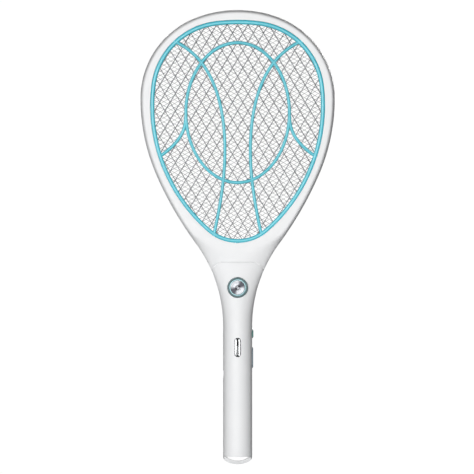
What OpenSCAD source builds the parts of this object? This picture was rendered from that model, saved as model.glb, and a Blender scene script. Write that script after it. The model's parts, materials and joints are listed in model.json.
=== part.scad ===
/* [Overall] */
// Height from the loop at the handle's end to the top of the head
total_h = 500; // [480:1:520]
// Widest width of the head
head_w = 214; // [208:1:220]
// Width of the straight part of the handle
handle_w = 32; // [31:0.5:33]
// Depth of the handle, front to back
handle_d = 34; // [33:0.5:36]
// Depth of the head's rim, front to back
head_d = 24; // [23.5:0.5:26]
// Wall thickness of the shells
wall = 2.2; // [1.8:0.1:2.6]

/* [Head outline] */
// Radius of the arc across the top of the head
crown_r = 130; // [120:1:140]
// Angle that the crown's arc turns through on each side
crown_turn = 19.5; // [17:0.5:22]
// Radius of the arc below the head's widest point
flank_r = 211; // [200:1:220]
// Angle that the flank's arc turns through
flank_turn = 23.5; // [22:0.5:25]
// Radius of the nearly straight arc that runs in to the neck
taper_r = 385; // [360:5:410]
// Angle that the taper's arc turns through
taper_turn = 13; // [12:0.5:14]

/* [Window outline] */
// Radius of the arc across the top of the window
window_top_r = 200; // [180:1:220]
// Radius of the arc at the window's upper side
window_side_r = 81; // [78:1:84]
// Radius of the arc along the window's lower side
window_flank_r = 184; // [180:1:188]
// Distance from the top of the head to the window
window_drop = 11; // [10:0.5:12]

/* [Grille] */
// Width of the grille's ring
ring_w = 4.3; // [3.5:0.1:5]
// Width of a grille rib
rib_w = 3.4; // [2.5:0.1:4]
// Thickness of a grille, front to back
grille_t = 2.8; // [2:0.1:3]
// Half-width of the oval rib
oval_a = 57; // [54:1:60]
// Half-height of the oval rib
oval_b = 77; // [74:1:80]
// Height of the oval's centre
oval_z = 387; // [384:1:390]

/* [Mesh] */
// Wire diameter of the two outer meshes
guard_wire = 0.8; // [0.6:0.1:1]
// Distance between neighbouring wires of the outer meshes
guard_pitch = 9.8; // [9:0.1:12]
// Slope of the outer meshes' wires from the horizontal
guard_slope = 59; // [55:1:63]
// Wire diameter of the mesh in the middle
fine_wire = 0.45; // [0.4:0.05:0.6]
// Distance between neighbouring wires of the mesh in the middle
fine_pitch = 3.87; // [3.6:0.01:5]
// Slope of the middle mesh's wires from the horizontal
fine_slope = 30; // [26:1:34]

/* [Controls] */
// Height of the round button's centre
zap_z = 194.5; // [192:0.5:197]
// Outer diameter of the ring round the button
zap_ring_d = 22.5; // [21:0.5:24]
// Travel of the round button
zap_travel = 0.8; // [0.4:0.1:0.8]
// Height of the slide switch's centre
mode_z = 128.6; // [126:0.1:131]
// Length of the slide switch's bezel
mode_l = 21; // [20:0.5:22]
// Travel of the slide switch's knob
mode_travel = 6; // [4:0.5:6]
// Height of the light button's centre
light_z = 143.7; // [143:0.1:145]
// Diameter of the light button
light_d = 9.6; // [9:0.1:10]
// Height of the trigger bar's centre
trigger_z = 117.5; // [117:0.1:118.5]
// Length of the trigger bar
trigger_l = 23; // [20:0.5:24]

/* [Battery] */
// Diameter of the battery cell
cell_d = 18.2; // [17:0.1:18.6]
// Length of the battery cell
cell_l = 65; // [60:0.5:66]
// Height of the cell's lower end
cell_z = 18; // [18:0.5:19]

/* [Hidden] */

// Colours
shell_white = [0.95, 0.95, 0.95];
cyan = [0.37, 0.75, 0.79];
steel = [0.66, 0.67, 0.68];
board_green = [0.1, 0.35, 0.2];
dark = [0.12, 0.12, 0.13];
copper = [0.72, 0.42, 0.2];

// Clearances
run_gap = 0.2;
stem_gap = 0.08;
cut = 1;

// Angle between neighbouring points of a curved outline
arc_step = 4.5;

// Points along an arc that starts at p, heading th degrees clockwise from +X
function arc_points(p, th, r, turn) =
    let (n = ceil(abs(turn) / arc_step))
    [for (i = [1:n]) let (t = th + turn * i / n)
        [p.x + r * (sin(t) - sin(th)), p.y + r * (cos(t) - cos(th))]];

// Points along tangent arcs, one radius and one turn each
function chain(p, th, radii, turns, i = 0) =
    i == len(radii) ? []
    : let (arc = arc_points(p, th, radii[i], turns[i]))
        concat(arc, chain(arc[len(arc) - 1], th + turns[i], radii, turns, i + 1));

function lerp(a, b, t) = a + (b - a) * t;
function smooth(t) = let (c = min(1, max(0, t))) c * c * (3 - 2 * c);

// The head's side, from the crown down to the straight handle
th_flank = 90 + flank_turn;
th_taper = th_flank + taper_turn;
shoulder_r = (head_w / 2 - crown_r * sin(crown_turn)) / (1 - sin(crown_turn));
taper_end_x = head_w / 2 + flank_r * (sin(th_flank) - 1)
    + taper_r * (sin(th_taper) - sin(th_flank));
neck_r = (taper_end_x - handle_w / 2) / (1 - sin(th_taper));

// The side's outline, moved inwards by inset
function side_outline(inset) = concat(
    [[0, total_h - inset]],
    chain([0, total_h - inset], 0,
        [crown_r - inset, shoulder_r - inset, flank_r - inset, taper_r - inset, -neck_r - inset],
        [crown_turn, 90 - crown_turn, flank_turn, taper_turn, 90 - th_taper]));

// The window's right-hand side from top to bottom, moved outwards by grow
window_top_turn = 7;
window_side_turn = 76;
window_flank_turn = 56;
th_w1 = window_top_turn;
th_w2 = th_w1 + window_side_turn;
th_w3 = th_w2 + window_flank_turn;
window_foot_r = (window_top_r * sin(th_w1) + window_side_r * (sin(th_w2) - sin(th_w1))
    + window_flank_r * (sin(th_w3) - sin(th_w2))) / sin(th_w3);
window_top_z = total_h - window_drop;

function window_side(grow) = concat(
    [[0, window_top_z + grow]],
    chain([0, window_top_z + grow], 0,
        [window_top_r + grow, window_side_r + grow, window_flank_r + grow, window_foot_r + grow],
        [window_top_turn, window_side_turn, window_flank_turn, 180 - th_w3]));

// The window's whole outline as a closed loop
function window_loop(grow) =
    let (side = window_side(grow), last = len(side) - 1)
    concat([for (i = [0:last - 1]) side[i]], [[0, side[last].y]],
        [for (i = [last - 1:-1:1]) [-side[i].x, side[i].y]]);

window_foot_z = window_loop(0)[len(window_side(0)) - 1].y;

// Lookups along the side: half-width at a height, and distance from a point
side = concat(side_outline(0), [[handle_w / 2, -40]]);
width_table = [for (p = side) [p.y, p.x]];
function half_w(z) = lookup(z, width_table);
function seg_dist(p, a, b) =
    let (ab = b - a, t = min(1, max(0, ((p - a) * ab) / (ab * ab))))
    norm(p - a - t * ab);
function edge_dist(p) =
    min([for (i = [0:len(side) - 2]) seg_dist([abs(p.x), p.y], side[i], side[i + 1])]);

// Seam between the head frames and the handle shells
seam_z = 222.5;
seam_flat = 20;
seam_edge_z = 214.8;
seam_corner = [half_w(seam_edge_z), seam_edge_z];
function seam_height(x) =
    abs(x) <= seam_flat ? seam_z
    : seam_z - (abs(x) - seam_flat) * (seam_z - seam_corner.y) / (seam_corner.x - seam_flat);

// Surface height of a half, measured from the parting plane
neck_low = 150;
neck_high = 236;
round_high = 256;
edge_land = 0.8;
rim_round = 4;
function half_d(z) = lerp(handle_d / 2, head_d / 2, smooth((z - neck_low) / (neck_high - neck_low)));
function round_w(z) = lerp(edge_dist([0, min(z, seam_z)]), rim_round,
    smooth((z - seam_z) / (round_high - seam_z)));
function half_surface(p) =
    let (q = min(1, edge_dist(p) / round_w(p.y)))
    edge_land + (half_d(p.y) - edge_land) * sqrt(max(0, 1 - (1 - q) * (1 - q)));

// Flat strip down the back of the handle
rear_flat = handle_d / 2 - 0.5;

// Where a ray from the head's middle crosses a line of points
ray_from = [0, 370];
function ray_hit(pts, ang) =
    let (u = [sin(ang), -cos(ang)],
        hits = [for (i = [0:len(pts) - 2])
            let (a = pts[i] - ray_from, e = pts[i + 1] - pts[i],
                den = u.x * e.y - u.y * e.x,
                s = den == 0 ? -1 : (a.x * u.y - a.y * u.x) / den,
                t = den == 0 ? -1 : (a.x * e.y - a.y * e.x) / den)
            if (s >= -0.000001 && s <= 1.000001 && t > 0) t])
    ray_from + max(hits) * u;

// Rays round the head, finer near the neck, with one through each seam corner
function ray_angle(p) = atan2(p.x, ray_from.y - p.y);
corner_angles = [ray_angle([seam_flat, seam_z]), ray_angle(seam_corner)];
half_angles = concat([0, 3, 5.5], corner_angles, [for (a = [12.5:2.5:45]) a], [for (a = [50:5:175]) a]);
ray_angles = concat(half_angles, [180], [for (i = [len(half_angles) - 1:-1:1]) 360 - half_angles[i]]);

// Outer boundary of a head frame: the seam, then the head's side, then its mirror image
frame_side = concat([[0, seam_z], [seam_flat, seam_z], seam_corner],
    [for (i = [len(side) - 1:-1:0]) if (side[i].y > seam_corner.y + 1) side[i]]);

function frame_hit(pts, ang) =
    ang <= 180 ? ray_hit(pts, ang)
    : let (h = ray_hit(pts, 360 - ang)) [-h.x, h.y];

// Spacing of the points across the rim, from its edge to the window
rim_steps = [0, 0.03, 0.08, 0.15, 0.25, 0.38, 0.54, 0.75, 1];

// One half of the head's rim, from the parting plane to its front or rear surface
module frame_solid(dir) {
    inner_side = window_side(0);
    rows = [for (ang = ray_angles)
        let (o = frame_hit(frame_side, ang), i = frame_hit(inner_side, ang))
        concat(
            [[o.x, 0, o.y]],
            [for (w = rim_steps) let (p = lerp(o, i, w)) [p.x, dir * half_surface(p), p.y]],
            [[i.x, 0, i.y]])];
    ring_mesh(rows, dir);
}

// Skins a ring of closed profiles
module ring_mesh(rows, dir) {
    n = len(rows);
    m = len(rows[0]);
    pts = [for (r = rows) each r];
    faces = [for (i = [0:n - 1]) for (j = [0:m - 1])
        let (a = i * m + j, b = i * m + (j + 1) % m,
            c = ((i + 1) % n) * m + (j + 1) % m, d = ((i + 1) % n) * m + j)
        each (dir < 0 ? [[a, b, c], [a, c, d]] : [[c, b, a], [d, c, a]])];
    polyhedron(points = pts, faces = faces);
}

// Half of the handle's wall, from its lower end up to the seam
handle_low = 8.2;
row_count = 30;
quarter_angles = [0, 8, 16, 24, 34, acos(seam_flat / seam_corner.x), 57, 68, 79];
column_angles = concat(quarter_angles, [90],
    [for (i = [len(quarter_angles) - 1:-1:0]) 180 - quarter_angles[i]]);
module handle_wall(dir, flat_y) {
    rows = [for (i = [0:row_count])
        let (t = i / row_count, ze = lerp(handle_low, seam_corner.y, t), a = half_w(ze), ai = a - wall,
            rise = smooth((t - 0.7) / 0.3),
            levels = [for (ang = column_angles)
                ze + rise * (seam_height(seam_corner.x * cos(ang)) - seam_corner.y)],
            outer = [for (j = [0:len(column_angles) - 1])
                let (x = a * cos(column_angles[j]), z = levels[j])
                [x, dir * min(half_surface([x, z]), flat_y), z]],
            inner = [for (j = [len(column_angles) - 1:-1:0])
                let (z = levels[j], h = edge_land + (half_d(z) - wall - edge_land) * sin(column_angles[j]))
                [ai * cos(column_angles[j]), dir * h, z]])
        concat([[a, 0, ze]], outer, [[-a, 0, ze], [-ai, 0, ze]], inner, [[ai, 0, ze]])];
    tube_mesh(rows, dir);
}

// Skins a stack of closed profiles, each an outer line and the same number of points back
module tube_mesh(rows, dir) {
    n = len(rows);
    m = len(rows[0]);
    half = m / 2;
    pts = [for (r = rows) each r];
    walls = [for (i = [0:n - 2]) for (j = [0:m - 1])
        let (a = i * m + j, b = i * m + (j + 1) % m, c = (i + 1) * m + (j + 1) % m, d = (i + 1) * m + j)
        each [[a, b, c], [a, c, d]]];
    low = [for (j = [0:half - 2])
        let (a = j, b = j + 1, c = m - 2 - j, d = m - 1 - j) each [[a, c, b], [a, d, c]]];
    k = (n - 1) * m;
    top = [for (j = [0:half - 2])
        let (a = k + j, b = k + j + 1, c = k + m - 2 - j, d = k + m - 1 - j) each [[a, b, c], [a, c, d]]];
    all = concat(walls, low, top);
    polyhedron(points = pts, faces = dir < 0 ? all : [for (f = all) [f[2], f[1], f[0]]]);
}

// Turns a flat outline in X and Z into a slab between two depths
module slab(y0, y1) {
    translate([0, y1, 0])
        rotate([90, 0, 0])
            linear_extrude(y1 - y0)
                children();
}

// Cylinder along Y between two depths
module rod_y(x, z, r, y0, y1) {
    translate([x, y1, z])
        rotate([90, 0, 0])
            cylinder(r = r, h = y1 - y0, $fn = 48);
}

// Cylinder along X between two distances from the middle
module rod_x(y, z, r, x0, x1) {
    translate([x0, y, z])
        rotate([0, 90, 0])
            cylinder(r = r, h = x1 - x0, $fn = 48);
}

// Box given by its two corners
module box(a, b) {
    translate(a)
        cube(b - a);
}

// Straight lead between two points
module lead(a, b, d) {
    v = b - a;
    translate(a)
        rotate([0, acos(v.z / norm(v)), atan2(v.y, v.x)])
            cylinder(d = d, h = norm(v), $fn = 24);
}

// Flat oblong with round ends, upright
module oblong(w, l) {
    translate([0, l / 2 - w / 2])
        circle(d = w, $fn = 48);
    translate([0, w / 2 - l / 2])
        circle(d = w, $fn = 48);
    square([w, l - w], center = true);
}

// Screw positions and sizes
screw_r = 1.1;
screw_head_r = 2.1;
boss_r = 2.6;
pilot_depth = 7;
screw_out = 4.7;
screw_angles = [24, 62, 100, 140, 180, 220, 260, 298, 336];
head_screw_xz = [for (ang = screw_angles)
    frame_hit(window_side(screw_out), ang)];
neck_screw_xz = [[-11, 213.5], [11, 213.5]];

// Hollow in a head frame that the leads run in, with a way down to the handle
groove_depth = 6.2;
hollow_low = seam_z + 6;
hollow_wide_z = 256;
hollow_foot_x = 12;
neck_way_x = 8;
module head_hollow(dir) {
    right = [for (p = side_outline(wall)) if (p.y > hollow_wide_z) p];
    loop = concat(right, [[hollow_foot_x, hollow_low], [-hollow_foot_x, hollow_low]],
        [for (i = [len(right) - 1:-1:1]) [-right[i].x, right[i].y]]);
    y0 = dir > 0 ? -cut : -groove_depth;
    y1 = dir > 0 ? groove_depth : cut;
    slab(y0, y1)
        difference() {
            polygon(loop);
            polygon(window_loop(wall));
        }
    box([-neck_way_x, y0, seam_z - cut], [neck_way_x, y1, hollow_low + 2]);
}

// Tongue that carries a head frame down inside the handle, open towards the other half
tongue_w = 28;
tongue_low = 208.5;
tongue_d = 7.4;
module tongue(dir) {
    inner = tongue_d - wall;
    difference() {
        box([-tongue_w / 2, dir > 0 ? 0 : -tongue_d, tongue_low],
            [tongue_w / 2, dir > 0 ? tongue_d : 0, seam_z + 0.5]);
        box([-neck_way_x, dir > 0 ? -cut : -inner, tongue_low - cut],
            [neck_way_x, dir > 0 ? inner : cut, seam_z + cut]);
    }
}

module head_boss(dir) {
    for (p = head_screw_xz)
        if (dir > 0) rod_y(p.x, p.y, boss_r, 0, groove_depth + 0.5);
        else rod_y(p.x, p.y, boss_r, -groove_depth - 0.5, 0);
}

module head_frame_front() {
    color(shell_white)
        difference() {
            union() {
                difference() {
                    frame_solid(-1);
                    head_hollow(-1);
                }
                tongue(-1);
                head_boss(-1);
            }
            tab_slots(-1);
            for (p = head_screw_xz)
                rod_y(p.x, p.y, screw_r, -pilot_depth, cut);
            for (p = neck_screw_xz)
                rod_y(p.x, p.y, screw_r, -pilot_depth + cut, cut);
        }
}

screw_seat = 5;
module head_frame_rear() {
    color(shell_white)
        difference() {
            union() {
                difference() {
                    frame_solid(1);
                    head_hollow(1);
                }
                tongue(1);
                head_boss(1);
            }
            tab_slots(1);
            for (p = head_screw_xz) {
                rod_y(p.x, p.y, screw_r + 0.1, -cut, screw_seat + cut);
                rod_y(p.x, p.y, screw_head_r + 0.1, screw_seat, head_d);
            }
            for (p = neck_screw_xz)
                rod_y(p.x, p.y, screw_r + 0.1, -cut, tongue_d + cut);
        }
}

// Screw driven from the back: its head rests at y_seat
module screw(p, y_seat, length) {
    difference() {
        union() {
            rod_y(p.x, p.y, screw_r, y_seat - length, y_seat);
            rod_y(p.x, p.y, screw_head_r, y_seat, y_seat + 1.4);
        }
        box([p.x - 1.3, y_seat + 0.7, p.y - 0.25], [p.x + 1.3, y_seat + 2, p.y + 0.25]);
        box([p.x - 0.25, y_seat + 0.7, p.y - 1.3], [p.x + 0.25, y_seat + 2, p.y + 1.3]);
    }
}

module head_screws() {
    color(steel)
        for (p = head_screw_xz)
            screw(p, screw_seat, screw_seat + pilot_depth - 0.5);
}

module neck_screws() {
    color(steel)
        for (p = neck_screw_xz)
            screw(p, neck_shell_seat, neck_shell_seat + pilot_depth - cut - 0.5);
}

// Point on a cubic curve
function curve_point(c, t) =
    pow(1 - t, 3) * c[0] + 3 * t * pow(1 - t, 2) * c[1] + 3 * t * t * (1 - t) * c[2] + pow(t, 3) * c[3];
function curve_slope(c, t) =
    3 * pow(1 - t, 2) * (c[1] - c[0]) + 6 * t * (1 - t) * (c[2] - c[1]) + 3 * t * t * (c[3] - c[2]);
function curve_side(c, t, off) =
    let (v = curve_slope(c, t), n = [v.y, -v.x] / norm(v)) curve_point(c, t) + off * n;

// Strip of constant width along a cubic curve
module strip(c, w) {
    n = 14;
    polygon(concat(
        [for (i = [0:n]) curve_side(c, i / n, w / 2)],
        [for (i = [n:-1:0]) curve_side(c, i / n, -w / 2)]));
}

// Control points of the right-hand ribs
long_rib_upper = [[14, 345], [14, 398], [28, 448], [71, 466]];
long_rib_lower = [[14, 345], [14, 315], [19, 285], [26.5, 251]];
short_rib = [[57.2, 383], [57, 362], [70, 350], [86, 338.5]];

module oval(a, b) {
    n = 72;
    polygon([for (i = [0:n - 1]) [a * cos(360 * i / n), b * sin(360 * i / n)]]);
}

ring_gap = 0.25;
grille_front = head_d / 2 - 0.2;
module grille(y0, y1) {
    slab(y0, y1)
        difference() {
            polygon(window_loop(-ring_gap));
            polygon(window_loop(-ring_gap - ring_w));
        }
    slab(y0, y1)
        translate([0, oval_z])
            difference() {
                oval(oval_a + rib_w / 2, oval_b + rib_w / 2);
                oval(oval_a - rib_w / 2, oval_b - rib_w / 2);
            }
    intersection() {
        for (c = [long_rib_upper, long_rib_lower, short_rib]) {
            slab(y0, y1)
                strip(c, rib_w);
            mirror([1, 0, 0])
                slab(y0, y1)
                    strip(c, rib_w);
        }
        slab(y0 - cut, y1 + cut)
            polygon(window_loop(-ring_gap - ring_w / 2));
    }
}

module front_grille() {
    color(cyan)
        grille(-grille_front, -grille_front + grille_t);
}

module rear_grille() {
    color(cyan)
        grille(grille_front - grille_t, grille_front);
}

// Ends of a straight wire inside the window, from the window's outline
mesh_inset = 2;
mesh_loop = window_loop(-mesh_inset);
function wire_hits(p, u) =
    [for (i = [0:len(mesh_loop) - 1])
        let (a = mesh_loop[i] - p, e = mesh_loop[(i + 1) % len(mesh_loop)] - mesh_loop[i],
            den = u.x * e.y - u.y * e.x,
            s = den == 0 ? -1 : (a.x * u.y - a.y * u.x) / den,
            t = den == 0 ? 0 : (a.x * e.y - a.y * e.x) / den)
        if (s >= 0 && s < 1) t];

// Parallel wires at one depth, sloping by ang, through a crossing point on the axis
module wires(ang, pitch, d, y, crossing) {
    u = [cos(ang), sin(ang)];
    v = [-sin(ang), cos(ang)];
    reach = ceil(150 / pitch);
    for (k = [-reach:reach]) {
        p = crossing + k * pitch * v;
        hits = wire_hits(p, u);
        if (len(hits) == 2) {
            a = p + min(hits) * u;
            b = p + max(hits) * u;
            if (norm(b - a) > 6)
                lead([a.x, y, a.y], [b.x, y, b.y], d);
        }
    }
}

// A mesh is two layers of wires welded to a thin border
border_w = 2.2;
mesh_edge = 0.6;
module wire_mesh(y, d, pitch, slope, crossing) {
    gap = d / 2 + 0.03;
    wires(slope, pitch, d, y - gap, crossing);
    wires(-slope, pitch, d, y + gap, crossing);
    slab(y - gap * 0.6, y + gap * 0.6)
        difference() {
            polygon(window_loop(-mesh_edge));
            polygon(window_loop(-mesh_edge - border_w));
        }
}

guard_y = grille_front - grille_t - guard_wire - 0.08;
guard_crossing = [0, 427];
fine_crossing = [0, 388];

module front_mesh() {
    color(steel)
        wire_mesh(-guard_y, guard_wire, guard_pitch, guard_slope, guard_crossing);
}

module rear_mesh() {
    color(steel)
        wire_mesh(guard_y, guard_wire, guard_pitch, guard_slope, guard_crossing);
}

module center_mesh() {
    color(steel)
        wire_mesh(0, fine_wire, fine_pitch, fine_slope, fine_crossing);
}

// Rings that hold the meshes apart
spacer_w = 3.4;
spacer_near = 0.7;
spacer_far = guard_y - guard_wire - 0.08;
module spacer(y0, y1) {
    slab(y0, y1)
        difference() {
            polygon(window_loop(-ring_gap));
            polygon(window_loop(-ring_gap - spacer_w));
        }
}

module front_spacer() {
    color(shell_white)
        spacer(-spacer_far, -spacer_near);
}

module rear_spacer() {
    color(shell_white)
        spacer(spacer_near, spacer_far);
}

// Tabs that bring the two supplies to the meshes at the foot of the window
tab_top = window_foot_z + mesh_edge;
step_z = window_foot_z - 1.6;
tab_low = window_foot_z - 6;
guard_tab_x = [-5.4, -2.6];
module mesh_terminals() {
    color(steel) {
        box([-1.5, -0.25, tab_low], [1.5, 0.25, tab_top]);
        guard_tab();
        mirror([0, 1, 0])
            guard_tab();
    }
}

module guard_tab() {
    box([guard_tab_x[0], guard_y - 0.2, step_z], [guard_tab_x[1], guard_y + 0.2, tab_top]);
    box([guard_tab_x[0], groove_depth - 1.4, step_z - 0.4], [guard_tab_x[1], guard_y + 0.2, step_z]);
    box([guard_tab_x[0], groove_depth - 1.4, tab_low], [guard_tab_x[1], groove_depth - 1, step_z - 0.2]);
}

// Slots in a head frame's inner wall for the tabs
module tab_slots(dir) {
    depth = guard_y + 0.4;
    box([-1.6, -0.35, step_z - 2], [1.6, 0.35, window_foot_z + cut]);
    box([guard_tab_x[0] - 0.1, dir > 0 ? -cut : -depth, step_z - 1],
        [guard_tab_x[1] + 0.1, dir > 0 ? depth : cut, window_foot_z + cut]);
}

// Lead swept along a smooth curve through a list of points
tube_sides = 8;
tube_steps = 4;
function curve_through(p, i, t) =
    let (a = p[max(0, i - 1)], b = p[i], c = p[i + 1], d = p[min(len(p) - 1, i + 2)])
    0.5 * (2 * b + (c - a) * t + (2 * a - 5 * b + 4 * c - d) * t * t + (3 * b - a - 3 * c + d) * t * t * t);
function unit(v) = v / norm(v);
module route(pts, d) {
    path = concat(
        [for (i = [0:len(pts) - 2]) for (k = [0:tube_steps - 1]) curve_through(pts, i, k / tube_steps)],
        [pts[len(pts) - 1]]);
    n = len(path);
    rings = [for (i = [0:n - 1])
        let (along = unit(path[min(n - 1, i + 1)] - path[max(0, i - 1)]),
            u = unit(cross(along, [0.3, 1, 0.1])), v = cross(along, u))
        [for (k = [0:tube_sides - 1])
            path[i] + d / 2 * (u * cos(360 * k / tube_sides) + v * sin(360 * k / tube_sides))]];
    faces = concat(
        [for (i = [0:n - 2]) for (k = [0:tube_sides - 1])
            let (a = i * tube_sides + k, b = i * tube_sides + (k + 1) % tube_sides,
                c = b + tube_sides, e = a + tube_sides)
            each [[a, e, c], [a, c, b]]],
        [[for (k = [0:tube_sides - 1]) k]],
        [[for (k = [tube_sides - 1:-1:0]) (n - 1) * tube_sides + k]]);
    polyhedron(points = [for (r = rings) each r], faces = faces);
}

// Routes of the two supplies, from the board up through the neck to the meshes
hv_route_live = [[3.6, -4.7, 203.5], [3.6, -3, 208], [1, 1, 214], [1, 1, 238]];
hv_route_guard = [[-4, -4.7, 203.5], [-4, -3.9, 210], [-4, -4.1, 238]];
hv_wire_d = 1.4;

module hv_wires() {
    color("firebrick")
        route(hv_route_live, hv_wire_d);
    color(dark)
        route(hv_route_guard, hv_wire_d);
}

// How far a boss reaches to stand on a handle shell's wall
function wall_depth(p) =
    (half_d(p.y) - wall) * sqrt(1 - pow(p.x / (half_w(p.y) - wall), 2)) + 0.2;

handle_screw_xz = [[-7.2, 13.6], [7.2, 13.6], [7.2, 92], [-7.2, 150], [0, 180]];
handle_seat = 9.6;
handle_pilot = 6;
neck_shell_seat = 9.2;
seat_wall = 1.1;
board_screw_xz = [[-8, 106], [8, 151], [-8, 186]];
board_front = -7;
board_t = 1.6;
board_back = board_front + board_t;
board_screw_r = 0.9;
board_screw_head_r = 1.6;
board_boss_r = 2.2;

// Holes in the handle's side for the light button and the trigger bar
module side_holes() {
    rod_x(0, light_z, light_d / 2 + run_gap, handle_w / 4, handle_w);
    translate([handle_w / 4, 0, trigger_z])
        rotate([90, 0, 90])
            linear_extrude(handle_w)
                oblong(trigger_w + 2 * run_gap, trigger_l + 2 * run_gap);
}

trigger_w = 8;
mode_w = 7;
port_z = 99;
port_y = -3.7;
port_w = 9;
port_t = 3.3;
port_hole_in = -10;

module port_hole() {
    translate([-handle_w, port_y, port_z])
        rotate([90, 0, 90])
            linear_extrude(handle_w + port_hole_in)
                oblong(port_t + 0.3, port_w + 0.3);
}

module handle_front_shell() {
    color(shell_white)
        difference() {
            union() {
                handle_wall(-1, handle_d);
                for (p = handle_screw_xz)
                    rod_y(p.x, p.y, boss_r, -wall_depth(p), 0);
                for (p = board_screw_xz)
                    rod_y(p.x, p.y, board_boss_r, -wall_depth(p), board_front);
            }
            for (p = handle_screw_xz)
                rod_y(p.x, p.y, screw_r, -handle_pilot, cut);
            for (p = board_screw_xz)
                rod_y(p.x, p.y, board_screw_r, board_front - 3.2, board_front + cut);
            rod_y(0, zap_z, zap_ring_d / 2, -handle_d, board_front - 2);
            translate([0, 0, mode_z])
                slab(-handle_d, board_front - 2)
                    oblong(mode_w, mode_l);
            side_holes();
            port_hole();
        }
}

module handle_rear_shell() {
    color(shell_white)
        difference() {
            union() {
                handle_wall(1, rear_flat);
                for (p = handle_screw_xz) {
                    rod_y(p.x, p.y, boss_r, 0, handle_seat);
                    rod_y(p.x, p.y, screw_head_r + 0.1 + seat_wall, handle_seat - 2, wall_depth(p));
                }
                for (p = neck_screw_xz)
                    rod_y(p.x, p.y, screw_head_r + 0.2, tongue_d, neck_shell_seat + 0.6);
            }
            for (p = handle_screw_xz) {
                rod_y(p.x, p.y, screw_r + 0.1, -cut, handle_seat + cut);
                rod_y(p.x, p.y, screw_head_r + 0.1, handle_seat, handle_d);
            }
            for (p = neck_screw_xz) {
                rod_y(p.x, p.y, screw_r + 0.1, 0, neck_shell_seat + cut);
                rod_y(p.x, p.y, screw_head_r + 0.1, neck_shell_seat, handle_d);
            }
            side_holes();
        }
}

module handle_screws() {
    color(steel)
        for (p = handle_screw_xz)
            screw(p, handle_seat, handle_seat + handle_pilot - 0.5);
}

// Loop at the handle's end: a plug that closes the handle and a band to hang it by
loop_r = 28;
loop_turn = 25;
loop_corner_r = (handle_w / 2 - loop_r * sin(loop_turn)) / (1 - sin(loop_turn));
loop_depth = 14;
// The loop stands this far inside the handle's skin
cap_step = 0.1;
loop_gap_z = 3.6;
loop_gap_r = 20;
loop_gap_x = 12.8;
plug_top = 10;

// Lower outline of the loop, from its lowest point out to the handle's side
function loop_edge() =
    let (half = concat([[0, 0]], chain([0, 0], 0, [loop_r, loop_corner_r], [loop_turn, 90 - loop_turn])))
    [for (p = half) [p.x, -p.y]];

function column_section(a, b) = concat(
    [for (ang = column_angles) [a * cos(ang), b * sin(ang)]],
    [for (i = [len(column_angles) - 2:-1:1]) [a * cos(column_angles[i]), -b * sin(column_angles[i])]]);

module end_cap() {
    edge = loop_edge();
    plug_a = handle_w / 2 - wall;
    plug_b = handle_d / 2 - wall;
    outline = concat(
        [for (p = edge) if (p.y < handle_low) p], [[handle_w / 2, handle_low], [-handle_w / 2, handle_low]],
        [for (i = [len(edge) - 1:-1:1]) if (edge[i].y < handle_low) [-edge[i].x, edge[i].y]]);
    color(shell_white) {
        intersection() {
            slab(-loop_depth / 2, loop_depth / 2)
                difference() {
                    polygon(outline);
                    intersection() {
                        translate([0, loop_gap_z + loop_gap_r])
                            circle(r = loop_gap_r, $fn = 96);
                        translate([-loop_gap_x, 0])
                            square([2 * loop_gap_x, handle_low]);
                    }
                }
            translate([0, 0, -wall])
                linear_extrude(handle_low + 2 * wall)
                    polygon(column_section(handle_w / 2 - cap_step, handle_d / 2 - cap_step));
        }
        translate([0, 0, handle_low])
            linear_extrude(plug_top - handle_low)
                polygon(column_section(plug_a, plug_b));
    }
}

// Light ring round the button
zap_front = -15.4;
zap_bore = zap_ring_d / 2 - 2;
zap_ring_back = -12.4;
module button_ring() {
    color(cyan)
        difference() {
            rod_y(0, zap_z, zap_ring_d / 2, zap_front + 0.3, zap_ring_back);
            rod_y(0, zap_z, zap_bore, zap_front - cut, zap_ring_back + cut);
        }
}

// Round button: a plunger with a lip behind the ring, and a metal cap set in its face
cap_r = 8;
cap_t = 0.7;
lip_front = zap_ring_back + 0.08;
lip_back = -11.5;
switch_front = board_front - 3.6;
stem_r = 1.75;
stem_reach = 0.9;
module zap_button_plunger() {
    color(shell_white)
        difference() {
            union() {
                rod_y(0, zap_z, zap_bore - run_gap, zap_front, lip_back);
                rod_y(0, zap_z, zap_bore + 0.8, lip_front, lip_back);
            }
            rod_y(0, zap_z, cap_r, zap_front - cut, zap_front + cap_t);
        }
}

module zap_button_cap() {
    color(steel)
        difference() {
            rod_y(0, zap_z, cap_r, zap_front - 0.15, zap_front + cap_t);
            difference() {
                rod_y(0, zap_z, 2.4, zap_front - cut, zap_front + 0.05);
                rod_y(0, zap_z, 1.9, zap_front - 2 * cut, zap_front + cut);
            }
        }
}

module zap_switch() {
    color(dark)
        difference() {
            box([-3, switch_front, zap_z - 3], [3, board_front, zap_z + 3]);
            rod_y(0, zap_z, stem_r + stem_gap, switch_front - cut,
                switch_front + stem_reach + zap_travel + 0.2);
        }
}

module zap_switch_stem() {
    color("white")
        rod_y(0, zap_z, stem_r, lip_back, switch_front + stem_reach);
}

// Slide switch
knob_l = 10;
knob_w = 2;
slot_l = 19.5;
slot_w = 2.2;
mode_front = -17.25;
bezel_back = -14.2;
knob_rest_z = mode_z - mode_travel / 2 - 0.5;
module mode_switch_bezel() {
    color("gainsboro")
        translate([0, 0, mode_z])
            slab(mode_front, bezel_back)
                difference() {
                    oblong(mode_w, mode_l);
                    oblong(slot_w, slot_l);
                }
}

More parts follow.
